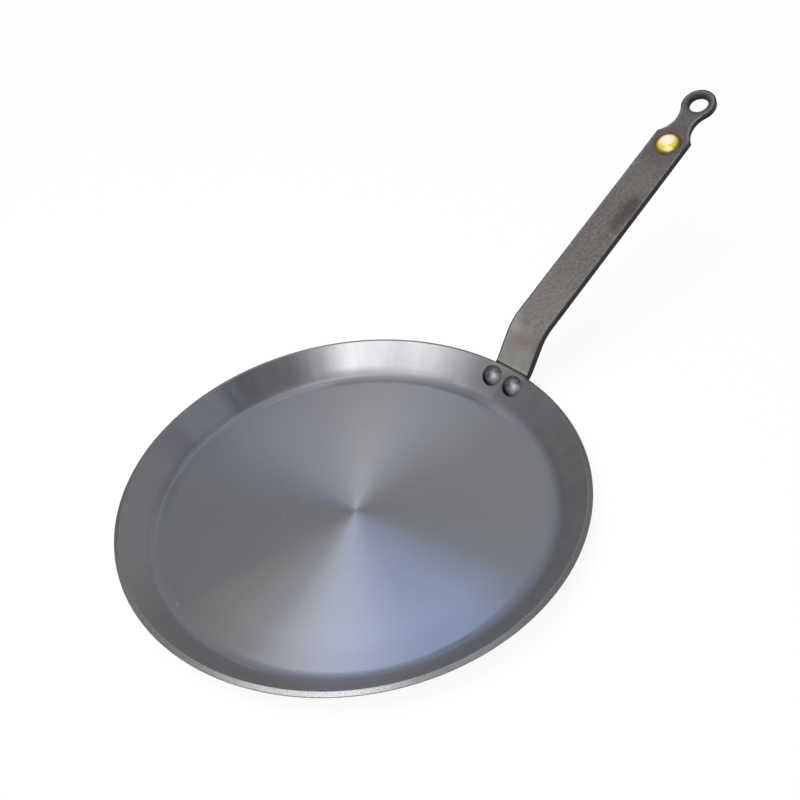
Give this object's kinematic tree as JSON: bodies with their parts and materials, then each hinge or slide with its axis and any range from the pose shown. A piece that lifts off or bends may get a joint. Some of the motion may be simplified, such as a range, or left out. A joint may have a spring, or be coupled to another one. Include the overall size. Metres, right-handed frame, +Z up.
{
  "type": "crepe pan",
  "caption": "Shallow round pan of bare carbon steel with a low sloping wall and a riveted flat strip handle that ends in a hanging eye.",
  "frame": {"origin": "centre of the round base, on the surface that the pan stands on", "axes": "+Z up, +X from the centre of the dish out along the handle, +Y to the left of the handle seen from the dish"},
  "size_m": [0.4527, 0.26, 0.1099],
  "materials": {
    "dish_steel": "satin, turned in circles",
    "handle_steel": "dull, with mill scale",
    "rivet_steel": "satin",
    "medallion_metal": "aged",
    "gold_foil": "bright",
    "amber_resin": "clear gloss"
  },
  "bodies": {
    "root": {"pan_body": "dish_steel", "handle": "handle_steel", "rivet_left": "rivet_steel", "rivet_right": "rivet_steel", "medallion_cup": "medallion_metal", "medallion_foil": "gold_foil", "medallion_dome": "amber_resin"}
  },
  "joints": []
}
